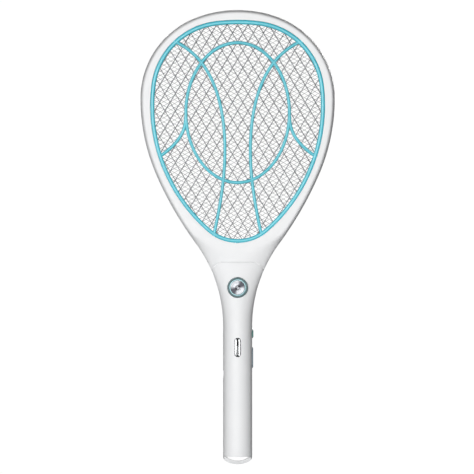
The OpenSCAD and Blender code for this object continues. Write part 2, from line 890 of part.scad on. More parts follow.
mode_body_front = board_front - 4.6;
foot_w = 1.8;
foot_l = 4;
module mode_switch_knob() {
    ridge_step = 1.6;
    color("silver")
        difference() {
            union() {
                translate([0, 0, knob_rest_z])
                    slab(mode_front + 0.35, bezel_back + 1)
                        square([knob_w, knob_l], center = true);
                box([-knob_w / 2 - 1, bezel_back + 0.3, knob_rest_z - knob_l / 2],
                    [knob_w / 2 + 1, bezel_back + 1, knob_rest_z + knob_l / 2]);
                box([-foot_w / 2, bezel_back + 0.5, knob_rest_z - foot_l / 2],
                    [foot_w / 2, mode_body_front + 1.6, knob_rest_z + foot_l / 2]);
            }
            for (k = [-2:2])
                box([-knob_w, mode_front - cut, knob_rest_z + k * ridge_step - 0.3],
                    [knob_w, mode_front + 0.7, knob_rest_z + k * ridge_step + 0.3]);
        }
}

module mode_switch_body() {
    color(steel)
        difference() {
            box([-4.2, mode_body_front, mode_z - 9], [4.2, board_front, mode_z + 9]);
            box([-foot_w / 2 - run_gap, mode_body_front - cut, knob_rest_z - foot_l / 2 - 0.5],
                [foot_w / 2 + run_gap, mode_body_front + 1.9, knob_rest_z + foot_l / 2 + mode_travel + 0.5]);
        }
}

// Side buttons push switches that stand on the board's edge
side_face = handle_w / 2;
flange_out = 12.3;
flange_in = 11.5;
side_switch_in = 6.5;
side_switch_out = 10.2;
side_switch_top = 3;
side_switch_h = 6;

module light_button() {
    color([0.55, 0.85, 0.8]) {
        rod_x(0, light_z, light_d / 2, flange_in, side_face + 0.9);
        rod_x(0, light_z, light_d / 2 - 0.8, side_face + 0.9, side_face + 1.4);
        rod_x(0, light_z, light_d / 2 + 0.7, flange_in, flange_out);
    }
}

module trigger_bar() {
    color([0.6, 0.78, 0.82])
        translate([flange_in, 0, trigger_z])
            rotate([90, 0, 90]) {
                linear_extrude(side_face + 1.1 - flange_in)
                    oblong(trigger_w, trigger_l);
                linear_extrude(flange_out - flange_in)
                    oblong(trigger_w + 1.6, trigger_l + 1.6);
            }
}

side_travel = 0.9;
module side_switch(z) {
    difference() {
        box([side_switch_in, board_back, z - side_switch_h / 2],
            [side_switch_out, side_switch_top, z + side_switch_h / 2]);
        rod_x(0, z, stem_r + stem_gap, side_switch_out - stem_reach - side_travel - 0.2,
            side_switch_out + cut);
    }
}

module side_stem(z) {
    rod_x(0, z, stem_r, side_switch_out - stem_reach, flange_in);
}

module light_switch() {
    color(dark)
        side_switch(light_z);
}

module light_switch_stem() {
    color("white")
        side_stem(light_z);
}

module trigger_switch() {
    color(dark)
        side_switch(trigger_z);
}

module trigger_switch_stem() {
    color("white")
        side_stem(trigger_z);
}

// Circuit board that fills the upper handle
board_low = 86;
board_high = 205;
board_half_w = 10.4;
module main_board() {
    color(board_green)
        difference() {
            box([-board_half_w, board_front, board_low], [board_half_w, board_back, board_high]);
            for (p = handle_screw_xz)
                rod_y(p.x, p.y, boss_r + 0.2, board_front - cut, board_back + cut);
            for (p = board_screw_xz)
                rod_y(p.x, p.y, board_screw_r + 0.1, board_front - cut, board_back + cut);
        }
}

module board_screws() {
    color(steel)
        for (p = board_screw_xz) {
            rod_y(p.x, p.y, board_screw_r, board_front - 3, board_back);
            rod_y(p.x, p.y, board_screw_head_r, board_back, board_back + 1);
        }
}

// Step-up transformer: a core with two windows and a winding round the middle leg
core_low = 157;
core_high = 173;
core_half_w = 7.5;
core_back = -3.4;
core_front = 4.6;
leg = 1.9;
winding_gap = 0.1;
module transformer_core() {
    color("dimgray")
        difference() {
            box([-core_half_w, core_back, core_low], [core_half_w, core_front, core_high]);
            for (side_x = [-core_half_w + leg, leg])
                box([side_x, core_back - cut, core_low + leg],
                    [side_x + core_half_w - 2 * leg, core_front + cut, core_high - leg]);
        }
}

module transformer_winding() {
    half_x = core_half_w - leg - winding_gap;
    color(copper)
        difference() {
            box([-half_x, board_back, core_low + leg + winding_gap],
                [half_x, core_front + 2, core_high - leg - winding_gap]);
            box([-leg, core_back, core_low], [leg, core_front, core_high]);
        }
}

// Film capacitor that holds the meshes' charge
film_low = [-9.4, board_back, 189];
film_size = [11.8, 7.8, 13];
module hv_capacitor() {
    color("sienna")
        box(film_low, film_low + film_size);
}

// Can capacitors that smooth the supply
can_xz = [[-4.6, 116], [-4.6, 128]];
can_r = 4;
can_top = 5.6;
module filter_capacitors() {
    color("midnightblue")
        for (p = can_xz)
            difference() {
                rod_y(p.x, p.y, can_r, board_back, can_top);
                rod_y(p.x, p.y, can_r - 0.9, can_top - 0.2, can_top + cut);
            }
}

// Diodes of the voltage multiplier, each on its two leads
diode_x = 7.4;
diode_z = [188.5, 195, 201.5];
diode_r = 1.3;
diode_l = 4;
lead_r = 0.3;
module diodes() {
    color(dark)
        for (z = diode_z)
            axial(diode_x, z, diode_r, diode_l, diode_l + 1.8);
}

// Round component lying on the board, with a lead out of each end
module axial(x, z, r, body_l, over_l) {
    translate([x, board_back + r + 0.1, z]) {
        cylinder(r = r, h = body_l, center = true, $fn = 32);
        cylinder(r = lead_r, h = over_l, center = true, $fn = 24);
    }
}

// Resistors that bleed the charge and feed the lights
resistor_xz = [[3.5, 128], [3.5, 136], [-4, 140]];
resistor_r = 1.1;
resistor_l = 5.2;
module resistors() {
    color("tan")
        for (p = resistor_xz)
            axial(p.x, p.y, resistor_r, resistor_l, resistor_l + 1.4);
}

// Transistor that drives the transformer, round with one flat side
transistor_xz = [7.2, 130];
transistor_r = 2.3;
transistor_flat = 1.8;
transistor_top = -0.8;
module transistor() {
    p = transistor_xz;
    color(dark)
        difference() {
            rod_y(p.x, p.y, transistor_r, board_back, transistor_top);
            box([p.x + transistor_flat, board_back - cut, p.y - transistor_r],
                [p.x + transistor_r, transistor_top + cut, p.y + transistor_r]);
        }
}

// Small lights behind the ring
led_reach = 9.4;
led_w = 1.6;
led_t = 0.9;
module indicator_leds() {
    color("white")
        for (ang = [0:90:270])
            translate([led_reach * cos(ang), board_front - led_t / 2, zap_z + led_reach * sin(ang)])
                cube([led_w, led_t, led_w], center = true);
}

// Charging socket on the board's left edge, opening to the side
port_in = -7.8;
port_out = -15.2;
module charging_port() {
    color(steel)
        translate([port_out, port_y, port_z])
            rotate([90, 0, 90])
                difference() {
                    linear_extrude(port_in - port_out)
                        oblong(port_t, port_w);
                    translate([0, 0, -cut])
                        linear_extrude(port_in - port_out - 1 + cut)
                            oblong(port_t - 0.6, port_w - 0.6);
                }
}

module charging_port_tongue() {
    color(dark)
        box([port_out + 0.8, port_y - 0.35, port_z - 3.2], [port_in - 1, port_y + 0.35, port_z + 3.2]);
}

// Battery cell with a raised contact at its upper end
tab_t = 0.3;
contact_h = 1;
module battery_cell() {
    color("royalblue") {
        translate([0, 0, cell_z])
            cylinder(d = cell_d, h = cell_l - contact_h, $fn = 96);
        translate([0, 0, cell_z + cell_l - contact_h])
            cylinder(d = cell_d / 2.6, h = contact_h, $fn = 48);
    }
}

module battery_tabs() {
    color("silver") {
        box([-2.5, -4, cell_z - tab_t], [2.5, 8, cell_z]);
        box([-2.5, -8, cell_z + cell_l], [2.5, 4, cell_z + cell_l + tab_t]);
    }
}

// Leads from the tabs to the board: one beside the cell, one across its top
battery_lead_d = 1.6;
low_tab_z = cell_z - tab_t - battery_lead_d / 2;
high_tab_z = cell_z + cell_l + tab_t + battery_lead_d / 2;
module battery_wires() {
    color(dark)
        route([[0, 7, low_tab_z], [-2.4, 9.2, low_tab_z + 0.1], [-5.5, 9.9, low_tab_z + 1.5],
            [-8.2, 9.3, 20.5], [-8.4, 9, 30], [-8.4, 9, 84], [-4, -4.4, 89]], battery_lead_d);
    color("firebrick")
        route([[0, 2, high_tab_z], [1.5, -4.4, 88]], battery_lead_d);
}

// Foam pads between the cell and the handle's wall
pad_w = 12;
pad_low = 32;
pad_high = 68;
pad_gap = 0.1;
pad_start = 4;
module battery_pads() {
    room_x = handle_w / 2 - wall - pad_gap;
    room_y = handle_d / 2 - wall - edge_land - pad_gap;
    room = [for (ang = column_angles) [room_x * cos(ang), edge_land + room_y * sin(ang)]];
    color("gray")
        for (turn = [0, 180])
            rotate(turn)
                difference() {
                    intersection() {
                        translate([0, 0, pad_low])
                            linear_extrude(pad_high - pad_low)
                                polygon(room);
                        box([-pad_w / 2, pad_start, pad_low - cut], [pad_w / 2, handle_d, pad_high + cut]);
                    }
                    cylinder(d = cell_d + pad_gap, h = total_h, $fn = 96);
                }
}

head_frame_front();
head_frame_rear();
front_grille();
rear_grille();
front_mesh();
center_mesh();
rear_mesh();
front_spacer();
rear_spacer();
mesh_terminals();
hv_wires();
head_screws();
neck_screws();
handle_front_shell();
handle_rear_shell();
handle_screws();
end_cap();
button_ring();
zap_button_plunger();
zap_button_cap();
zap_switch();
zap_switch_stem();
mode_switch_bezel();
mode_switch_knob();
mode_switch_body();
light_button();
light_switch();
light_switch_stem();
trigger_bar();
trigger_switch();
trigger_switch_stem();
main_board();
board_screws();
transformer_core();
transformer_winding();
hv_capacitor();
filter_capacitors();
diodes();
resistors();
transistor();
indicator_leds();
charging_port();
charging_port_tongue();
battery_cell();
battery_tabs();
battery_wires();
battery_pads();
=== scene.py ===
import json
import math

import bmesh
import bpy
from mathutils import Matrix, Vector
from mathutils.geometry import interpolate_bezier
from mathutils.kdtree import KDTree


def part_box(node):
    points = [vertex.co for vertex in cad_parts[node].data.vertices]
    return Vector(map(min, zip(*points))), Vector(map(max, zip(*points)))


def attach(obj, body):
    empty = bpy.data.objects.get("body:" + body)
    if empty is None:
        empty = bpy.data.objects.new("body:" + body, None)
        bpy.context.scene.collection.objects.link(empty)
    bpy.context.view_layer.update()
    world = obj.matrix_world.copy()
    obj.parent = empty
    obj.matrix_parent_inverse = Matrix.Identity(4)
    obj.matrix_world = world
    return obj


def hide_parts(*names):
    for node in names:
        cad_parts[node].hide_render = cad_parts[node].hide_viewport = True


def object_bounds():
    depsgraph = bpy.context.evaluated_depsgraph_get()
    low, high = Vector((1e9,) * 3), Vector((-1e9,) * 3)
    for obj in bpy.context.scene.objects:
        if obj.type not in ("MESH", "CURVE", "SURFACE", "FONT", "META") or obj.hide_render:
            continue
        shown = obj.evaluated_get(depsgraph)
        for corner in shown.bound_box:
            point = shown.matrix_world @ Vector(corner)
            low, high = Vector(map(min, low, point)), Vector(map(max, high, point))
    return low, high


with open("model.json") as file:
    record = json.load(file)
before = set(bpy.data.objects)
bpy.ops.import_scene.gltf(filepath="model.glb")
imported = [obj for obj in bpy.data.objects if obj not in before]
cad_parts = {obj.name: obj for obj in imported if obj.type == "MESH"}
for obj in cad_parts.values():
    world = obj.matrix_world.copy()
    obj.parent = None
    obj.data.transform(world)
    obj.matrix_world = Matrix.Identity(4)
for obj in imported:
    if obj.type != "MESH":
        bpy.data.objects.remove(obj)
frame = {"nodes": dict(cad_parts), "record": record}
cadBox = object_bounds()
nodes = frame["nodes"]
scene = bpy.context.scene
mm = 0.001
print("frame loaded:", len(nodes), "nodes")


# camera and light, in metres and watts
view = {"lens": 700, "distance": 10.15, "height": 0.2501, "aside": -0.0007}
light = {"keyPower": 57, "keyPlace": (-0.4, -2.4, 0.41), "backShare": 0.7, "backPlace": (0.3, 2.2, 0.9),
         "size": (1.8, 0.8), "aim": (0, 0, 0.28), "skyDark": 0.08, "skyBright": 0.34, "white": 1.02}
floorPlan = {"radius": 1.2, "drop": 0.0005, "color": (0.55, 0.56, 0.57, 1), "rough": 0.8}


def makeCamera():
    data = bpy.data.cameras.new("camera")
    data.lens = view["lens"]
    data.clip_end = 100
    camera = bpy.data.objects.new("camera", data)
    camera.location = (view["aside"], -view["distance"], view["height"])
    camera.rotation_euler = (math.radians(90), 0, 0)
    scene.collection.objects.link(camera)
    scene.camera = camera


def softBox(name, place, power):
    data = bpy.data.lights.new(name, "AREA")
    data.shape = "RECTANGLE"
    data.size, data.size_y = light["size"]
    data.energy = power
    lamp = bpy.data.objects.new(name, data)
    lamp.location = place
    lamp.rotation_euler = (Vector(light["aim"]) - Vector(place)).to_track_quat("-Z", "Y").to_euler()
    lamp.visible_camera = False
    scene.collection.objects.link(lamp)


# white where the camera looks at it, and a plain shader where it lights the object
def whiteToCamera(tree, plain):
    white = tree.nodes.new("ShaderNodeEmission")
    white.inputs["Strength"].default_value = light["white"]
    path = tree.nodes.new("ShaderNodeLightPath")
    mix = tree.nodes.new("ShaderNodeMixShader")
    tree.links.new(path.outputs["Is Camera Ray"], mix.inputs["Fac"])
    tree.links.new(plain.outputs[0], mix.inputs[1])
    tree.links.new(white.outputs[0], mix.inputs[2])
    return mix


def makeLight():
    scene.view_settings.view_transform = "Standard"
    softBox("keyLight", light["keyPlace"], light["keyPower"])
    softBox("backLight", light["backPlace"], light["keyPower"] * light["backShare"])
    world = bpy.data.worlds.new("studio")
    scene.world = world
    world.use_nodes = True
    tree = world.node_tree
    sky = tree.nodes["Background"]
    # the room is dark to the left and right, so the sides fall off to grey
    aim = tree.nodes.new("ShaderNodeTexCoord")
    split = tree.nodes.new("ShaderNodeSeparateXYZ")
    power = tree.nodes.new("ShaderNodeMath")
    power.operation = "MULTIPLY"
    bright = tree.nodes.new("ShaderNodeMapRange")
    bright.inputs["To Min"].default_value = light["skyDark"]
    bright.inputs["To Max"].default_value = light["skyBright"]
    tree.links.new(aim.outputs["Generated"], split.inputs[0])
    tree.links.new(split.outputs["Y"], power.inputs[0])
    tree.links.new(split.outputs["Y"], power.inputs[1])
    tree.links.new(power.outputs[0], bright.inputs["Value"])
    tree.links.new(bright.outputs[0], sky.inputs["Strength"])
    mix = whiteToCamera(tree, sky)
    tree.links.new(mix.outputs[0], tree.nodes["World Output"].inputs["Surface"])


def makeFloor():
    bm = bmesh.new()
    bmesh.ops.create_circle(bm, cap_ends=True, radius=floorPlan["radius"], segments=96)
    mesh = bpy.data.meshes.new("floor")
    bm.to_mesh(mesh)
    bm.free()
    pale = bpy.data.materials.new("paleFloor")
    pale.use_nodes = True
    tree = pale.node_tree
    shader = tree.nodes["Principled BSDF"]
    shader.inputs["Base Color"].default_value = floorPlan["color"]
    shader.inputs["Roughness"].default_value = floorPlan["rough"]
    mix = whiteToCamera(tree, shader)
    tree.links.new(mix.outputs[0], tree.nodes["Material Output"].inputs["Surface"])
    mesh.materials.append(pale)
    floor = bpy.data.objects.new("floor", mesh)
    floor.location.z = -floorPlan["drop"]
    scene.collection.objects.link(floor)


# a shader socket that takes part in sums
class Value:
    def __init__(self, finish, socket):
        self.finish, self.socket = finish, socket

    def calc(self, operation, first, second=0.0):
        return self.finish.node("ShaderNodeMath", {"operation": operation}, {0: first, 1: second})

    def __add__(self, other):
        return self.calc("ADD", self, other)

    def __radd__(self, other):
        return self.calc("ADD", other, self)

    def __sub__(self, other):
        return self.calc("SUBTRACT", self, other)

    def __rsub__(self, other):
        return self.calc("SUBTRACT", other, self)

    def __mul__(self, other):
        return self.calc("MULTIPLY", self, other)

    def __rmul__(self, other):
        return self.calc("MULTIPLY", other, self)


# one material: its nodes and the sockets they feed
class Finish:
    def __init__(self, name, **sockets):
        self.material = bpy.data.materials.new(name)
        self.material.use_nodes = True
        self.tree = self.material.node_tree
        self.shader = self.tree.nodes["Principled BSDF"]
        self.set(**sockets)
        self.place = self.node("ShaderNodeTexCoord", out="Object")

    def feed(self, socket, value):
        if isinstance(value, Value):
            self.tree.links.new(value.socket, socket)
        elif hasattr(socket.default_value, "__len__") and len(value) == 3 and len(socket.default_value) == 4:
            socket.default_value = (*value, 1)
        else:
            socket.default_value = value

    def node(self, kind, settings=None, inputs=None, out=0):
        made = self.tree.nodes.new(kind)
        for key, value in (settings or {}).items():
            setattr(made, key, value)
        for key, value in (inputs or {}).items():
            self.feed(made.inputs[key], value)
        return Value(self, made.outputs[out])

    def set(self, **sockets):
        for key, value in sockets.items():
            self.feed(self.shader.inputs[socketNames[key]], value)

    # cloudy pattern whose features are about size millimetres across
    def noise(self, size, detail=3, roughness=0.55):
        return self.node("ShaderNodeTexNoise", {}, {"Vector": self.place, "Scale": 1 / (size * mm),
                                                    "Detail": detail, "Roughness": roughness})

    def band(self, value, low, high, start=0.0, end=1.0):
        return self.node("ShaderNodeMapRange", {}, {"Value": value, "From Min": low, "From Max": high,
                                                    "To Min": start, "To Max": end})

    def blend(self, factor, first, second):
        return self.node("ShaderNodeMix", {"data_type": "RGBA"}, {0: factor, 6: first, 7: second}, 2)

    def bump(self, height, depth):
        return self.node("ShaderNodeBump", {}, {"Height": height, "Distance": depth * mm})

    def axes(self):
        first = self.node("ShaderNodeSeparateXYZ", {}, {0: self.place})
        return [first] + [Value(self, first.socket.node.outputs[i]) for i in (1, 2)]

    # distance from an axis, from the two offsets across it
    def reach(self, across, up):
        return self.node("ShaderNodeMath", {"operation": "SQRT"}, {0: across * across + up * up})


socketNames = {"color": "Base Color", "rough": "Roughness", "metal": "Metallic", "normal": "Normal",
               "specular": "Specular IOR Level"}
clouds = {"patch": 38, "smudge": 9, "blotch": 6, "scuff": 1.5}


# moulded plastic: two near shades in patches, smudged gloss and a fine grain
def plastic(name, shade, tint, rough, grain=0.5, grainDepth=0.012, **extra):
    made = Finish(name, **extra)
    cloudy = made.noise(clouds["patch"], 4)
    smudge = made.noise(clouds["smudge"], 5, 0.6)
    fine = made.noise(grain, 2)
    made.set(color=made.blend(made.band(cloudy, 0.35, 0.65), shade, tint),
             rough=made.band(smudge, 0.3, 0.7, rough - 0.05, rough + 0.07),
             normal=made.bump(fine + 0.6 * made.noise(grain * 6, 2), grainDepth))
    return made.material


def metal(name, shade, tint, rough, grain=0.4, grainDepth=0.004):
    made = Finish(name, metal=1.0)
    streak = made.noise(grain, 3, 0.5)
    blotch = made.noise(clouds["blotch"], 4)
    made.set(color=made.blend(made.band(blotch, 0.35, 0.65), shade, tint),
             rough=made.band(streak, 0.3, 0.7, rough - 0.06, rough + 0.08),
             normal=made.bump(streak, grainDepth))
    return made.material


# the spun disc's values; its dark colour is painted reflection
spun = {"metal": 0.85, "ring": 0.3, "paintedFanTurn": 0.25, "ringDepth": 0.015, "dark": (0.05, 0.05, 0.06)}


# spun disc: fine turned rings, and two darker fans of painted reflection where the turning marks would catch
# less light
def spunMetal(name, centre):
    made = Finish(name, metal=spun["metal"])
    x, _, z = made.axes()
    dx, dz = x - centre[0], z - centre[2]
    rings = made.node("ShaderNodeTexNoise", {"noise_dimensions": "1D"},
                      {"W": made.reach(dx, dz), "Scale": 1 / (spun["ring"] * mm), "Detail": 2})
    turn = made.node("ShaderNodeMath", {"operation": "ARCTAN2"}, {0: dz, 1: dx})
    # painted reflection: two dark fans round the disc's centre, laid over the turned grain in the colour
    paintedFan = made.node("ShaderNodeMath", {"operation": "SINE"}, {0: turn * 2.0 + spun["paintedFanTurn"]})
    shade = made.band(paintedFan + 0.25 * rings, -0.1, 0.9)
    grain = made.blend(made.band(rings, 0.3, 0.7), (0.38, 0.39, 0.41), (0.28, 0.29, 0.31))
    made.set(color=made.blend(shade, grain, spun["dark"]),
             rough=made.band(rings, 0.3, 0.7, 0.42, 0.55),
             normal=made.bump(rings, spun["ringDepth"]))
    return made.material


# the bezel's painted shade: where it starts and is full on the rounded edge, where it deepens towards the
# ends, its share along the sides, and its colour
plated = {"paintedShadeFrom": 2.2, "paintedShadeTo": 2.9, "paintedEndShadeFrom": 5, "endTo": 8.5, "sides": 0.8,
          "dark": (0.02, 0.02, 0.022)}


# plated surround of the slide switch: painted shade on its rounded outer edge, darkest at its two ends
def platedRim(name, centre, straight):
    made = Finish(name, metal=1.0)
    x, _, z = made.axes()
    along = made.node("ShaderNodeMath", {"operation": "ABSOLUTE"}, {0: z - centre[2]})
    past = made.node("ShaderNodeMath", {"operation": "MAXIMUM"}, {0: along - straight, 1: 0.0})
    # painted shade: dark on the rounded outer edge, deepest at the two ends, laid over the scuffed plating
    paintedUnderShade = made.band(made.reach(x, past), plated["paintedShadeFrom"] * mm, plated["paintedShadeTo"] * mm)
    ends = made.band(along, plated["paintedEndShadeFrom"] * mm, plated["endTo"] * mm, plated["sides"], 1.0)
    scuff = made.noise(clouds["scuff"], 4)
    shade = made.blend(scuff, (0.46, 0.47, 0.48), (0.37, 0.38, 0.39))
    made.set(color=made.blend(paintedUnderShade * ends, shade, plated["dark"]),
             rough=made.band(scuff, 0.3, 0.7, 0.22, 0.34),
             normal=made.bump(made.noise(0.4), 0.003))
    return made.material


# each finish: its shade, the shade it drifts to, and its roughness
def makeMaterials():
    made = {}
    made["white"] = plastic("whitePlastic", (0.89, 0.895, 0.90), (0.87, 0.877, 0.885), 0.5, specular=0.3)
    made["cap"] = plastic("capPlastic", (0.76, 0.765, 0.77), (0.71, 0.715, 0.72), 0.5, specular=0.3)
    made["cyan"] = plastic("cyanPlastic", (0.085, 0.56, 0.67), (0.07, 0.51, 0.615), 0.3)
    made["spacer"] = plastic("spacerPlastic", (0.80, 0.81, 0.83), (0.74, 0.75, 0.77), 0.45)
    made["guardWire"] = metal("guardWire", (0.22, 0.225, 0.235), (0.16, 0.165, 0.175), 0.36)
    made["fineWire"] = metal("fineWire", (0.30, 0.305, 0.315), (0.22, 0.225, 0.235), 0.36)
    made["tinned"] = metal("tinnedSteel", (0.70, 0.70, 0.70), (0.58, 0.58, 0.57), 0.3)
    made["screw"] = metal("screwSteel", (0.60, 0.60, 0.60), (0.45, 0.45, 0.44), 0.33)
    made["nickel"] = metal("nickelStrip", (0.68, 0.66, 0.60), (0.60, 0.58, 0.52), 0.3)
    made["ring"] = plastic("lightRing", (0.022, 0.10, 0.11), (0.018, 0.085, 0.095), 0.35)
    made["button"] = plastic("buttonPlastic", (0.50, 0.80, 0.84), (0.45, 0.75, 0.80), 0.3)
    made["green"] = plastic("greenTintPlastic", (0.15, 0.30, 0.27), (0.12, 0.26, 0.235), 0.3)
    made["blue"] = plastic("blueTintPlastic", (0.19, 0.255, 0.29), (0.16, 0.22, 0.255), 0.34)
    made["black"] = plastic("blackPlastic", (0.022, 0.022, 0.024), (0.03, 0.03, 0.032), 0.45)
    made["stem"] = plastic("stemPlastic", (0.75, 0.74, 0.70), (0.68, 0.67, 0.63), 0.4)
    made["knob"] = plastic("knobPlastic", (0.24, 0.245, 0.25), (0.19, 0.195, 0.20), 0.42)
    made["board"] = plastic("boardMask", (0.02, 0.16, 0.06), (0.015, 0.12, 0.045), 0.35)
    made["ferrite"] = plastic("ferriteCore", (0.03, 0.03, 0.032), (0.05, 0.048, 0.045), 0.7)
    made["winding"] = plastic("windingTape", (0.62, 0.40, 0.06), (0.50, 0.30, 0.04), 0.4)
    made["film"] = plastic("filmCapacitor", (0.24, 0.06, 0.02), (0.19, 0.045, 0.015), 0.25)
    made["can"] = plastic("canSleeve", (0.02, 0.03, 0.14), (0.016, 0.024, 0.11), 0.3)
    made["resistor"] = plastic("resistorLacquer", (0.52, 0.38, 0.18), (0.45, 0.32, 0.14), 0.4)
    made["led"] = plastic("ledLens", (0.85, 0.84, 0.75), (0.78, 0.78, 0.70), 0.2)
    made["cell"] = plastic("cellSleeve", (0.02, 0.10, 0.32), (0.016, 0.08, 0.27), 0.28)
    made["redLead"] = plastic("redLead", (0.40, 0.015, 0.01), (0.33, 0.012, 0.008), 0.45)
    made["blackLead"] = plastic("blackLead", (0.02, 0.02, 0.02), (0.03, 0.03, 0.03), 0.45)
    made["foam"] = plastic("foamPad", (0.05, 0.05, 0.052), (0.035, 0.035, 0.037), 0.9, 0.4, 0.2)
    return made


# which finish each of the frame's nodes takes
nodeFinish = {
    "white": ["head_frame_front", "head_frame_rear", "handle_front_shell", "handle_rear_shell"],
    "cap": ["end_cap"],
    "cyan": ["front_grille", "rear_grille"],
    "spacer": ["front_spacer", "rear_spacer"],
    "guardWire": ["front_mesh", "rear_mesh"],
    "fineWire": ["center_mesh"],
    "tinned": ["mesh_terminals", "charging_port"],
    "screw": ["head_screws", "neck_screws", "handle_screws", "board_screws"],
    "nickel": ["battery_tabs"],
    "chrome": ["mode_switch_bezel"],
    "ring": ["button_ring"],
    "button": ["zap_button_plunger"],
    "green": ["light_button"],
    "blue": ["trigger_bar"],
    "black": ["zap_switch", "light_switch", "trigger_switch", "mode_switch_body", "charging_port_tongue",
              "diodes", "transistor"],
    "stem": ["zap_switch_stem", "light_switch_stem", "trigger_switch_stem"],
    "knob": ["mode_switch_knob"],
    "board": ["main_board"],
    "ferrite": ["transformer_core"],
    "winding": ["transformer_winding"],
    "film": ["hv_capacitor"],
    "can": ["filter_capacitors"],
    "resistor": ["resistors"],
    "led": ["indicator_leds"],
    "cell": ["battery_cell"],
    "redLead": ["hv_wires"],
    "blackLead": ["battery_wires"],
    "foam": ["battery_pads"],
}

materials = makeMaterials()
low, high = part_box("zap_button_cap")
materials["spun"] = spunMetal("spunMetal", (low + high) / 2)
nodeFinish["spun"] = ["zap_button_cap"]
low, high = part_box("mode_switch_bezel")
straight = (high[2] - low[2] - high[0] + low[0]) / 2  # half the length of its straight sides
materials["chrome"] = platedRim("bezelChrome", (low + high) / 2, straight)


def paintNodes():
    for finish, names in nodeFinish.items():
        for name in names:
            data = nodes[name].data
            data.materials.clear()
            data.materials.append(materials[finish])


# from here on, sizes are in millimetres; an arc is its radius and the degrees it turns
outline = {"top": 500, "width": 214, "handle": 32, "crown": (130, 19.5), "flank": (211, 23.5),
           "taper": (385, 13)}
window = {"top": 489, "topArc": (200, 7), "sideArc": (81, 76), "flankArc": (184, 56)}
depth = {"handle": 17, "head": 12, "neckLow": 150, "neckHigh": 236, "roundHigh": 256, "land": 0.8, "round": 4,
         "rearFlat": 16.5}
seam = {"z": 222.5, "flat": 20, "edgeZ": 214.8, "gap": 0.3}


def sine(angle):
    return math.sin(math.radians(angle))


def cosine(angle):
    return math.cos(math.radians(angle))


# the head's side from the crown to the straight handle
def sideArcs():
    half, straight = outline["width"] / 2, outline["handle"] / 2
    (crown, turn), (flank, flankTurn) = outline["crown"], outline["flank"]
    taper, taperTurn = outline["taper"]
    shoulder = (half - crown * sine(turn)) / (1 - sine(turn))
    first, second = 90 + flankTurn, 90 + flankTurn + taperTurn
    endX = half + flank * (sine(first) - 1) + taper * (sine(second) - sine(first))
    neck = (endX - straight) / (1 - sine(second))
    return [(crown, turn), (shoulder, 90 - turn), (flank, flankTurn), (taper, taperTurn),
            (-neck, 90 - second)]


# all round the window, from its top and back to it
def windowArcs():
    (top, a), (side, b), (flank, c) = window["topArc"], window["sideArc"], window["flankArc"]
    second, third = a + b, a + b + c
    reach = top * sine(a) + side * (sine(second) - sine(a)) + flank * (sine(third) - sine(second))
    half = [(top, a), (side, b), (flank, c), (reach / sine(third), 180 - third)]
    return half + half[::-1]


# runs a vertex along tangent arcs with spin, and returns the vertices in order
def spinChain(bm, start, arcs, step, grow=0.0):
    x, z = start[0], start[1] + grow
    heading = 0.0
    chain = [bm.verts.new((x * mm, 0, z * mm))]
    for radius, turn in arcs:
        reach = radius + grow
        centre = Vector((x - reach * sine(heading), 0, z - reach * cosine(heading))) * mm
        steps = max(1, round(abs(reach * math.radians(turn)) / step))
        before = len(bm.verts)
        bmesh.ops.spin(bm, geom=[chain[-1]], cent=centre, axis=(0, 1, 0),
                       angle=math.radians(turn), steps=steps)
        bm.verts.ensure_lookup_table()
        chain += [bm.verts[i] for i in range(before, len(bm.verts))]
        heading += turn
        x, z = chain[-1].co.x / mm, chain[-1].co.z / mm
    return chain


def windowLoop(bm, step, grow=0.0):
    chain = spinChain(bm, (0, window["top"]), windowArcs(), step, grow)
    bmesh.ops.remove_doubles(bm, verts=chain, dist=0.02 * mm)
    return [e for e in bm.edges if e.is_wire]


# fine copy of the side, for distances and widths, carried on down the straight handle
fineStep = 0.4
sideBm = bmesh.new()
sidePoints = [v.co / mm for v in spinChain(sideBm, (0, outline["top"]), sideArcs(), fineStep)]
sideBm.free()
sidePoints += [Vector((outline["handle"] / 2, 0, sidePoints[-1].z - fineStep * i)) for i in range(1, 500)]
sideTree = KDTree(len(sidePoints))
for i, p in enumerate(sidePoints):
    sideTree.insert((p.x, 0, p.z), i)
sideTree.balance()


# the head's or handle's half width at a height
def halfWidth(z):
    low, high = 0, len(sidePoints) - 1
    while high - low > 1:
        middle = (low + high) // 2
        if sidePoints[middle].z > z:
            low = middle
        else:
            high = middle
    a, b = sidePoints[low], sidePoints[high]
    return a.x + (b.x - a.x) * (a.z - z) / max(a.z - b.z, 1e-9)


def edgeDistance(x, z):
    return sideTree.find((abs(x), 0, z))[2]


# eases from 0 to 1
def smooth(t):
    t = min(1, max(0, t))
    return t * t * (3 - 2 * t)


def halfDepth(z):
    t = smooth((z - depth["neckLow"]) / (depth["neckHigh"] - depth["neckLow"]))
    return depth["handle"] + (depth["head"] - depth["handle"]) * t


# height of the front or rear surface above the plane where the halves meet
def surfaceHeight(x, z):
    t = smooth((z - seam["z"]) / (depth["roundHigh"] - seam["z"]))
    across = edgeDistance(0, min(z, seam["z"])) * (1 - t) + depth["round"] * t
    q = min(1, edgeDistance(x, z) / across)
    return depth["land"] + (halfDepth(z) - depth["land"]) * math.sqrt(max(0, 1 - (1 - q) ** 2))


# the seam between head and handle is flat in the middle and slopes down to the sides
def seamHeight(x):
    corner = halfWidth(seam["edgeZ"])
    past = max(0, abs(x) - seam["flat"]) / (corner - seam["flat"])
    return seam["z"] - past * (seam["z"] - seam["edgeZ"])


nodeBodies = {node: body for body, held in frame["record"]["behaviour"]["bodies"].items() for node in held}


def newPiece(name, bm, finish):
    mesh = bpy.data.meshes.new(name)
    bm.to_mesh(mesh)
    bm.free()
    mesh.materials.append(materials[finish])
    piece = bpy.data.objects.new(name, mesh)
    scene.collection.objects.link(piece)
    return piece


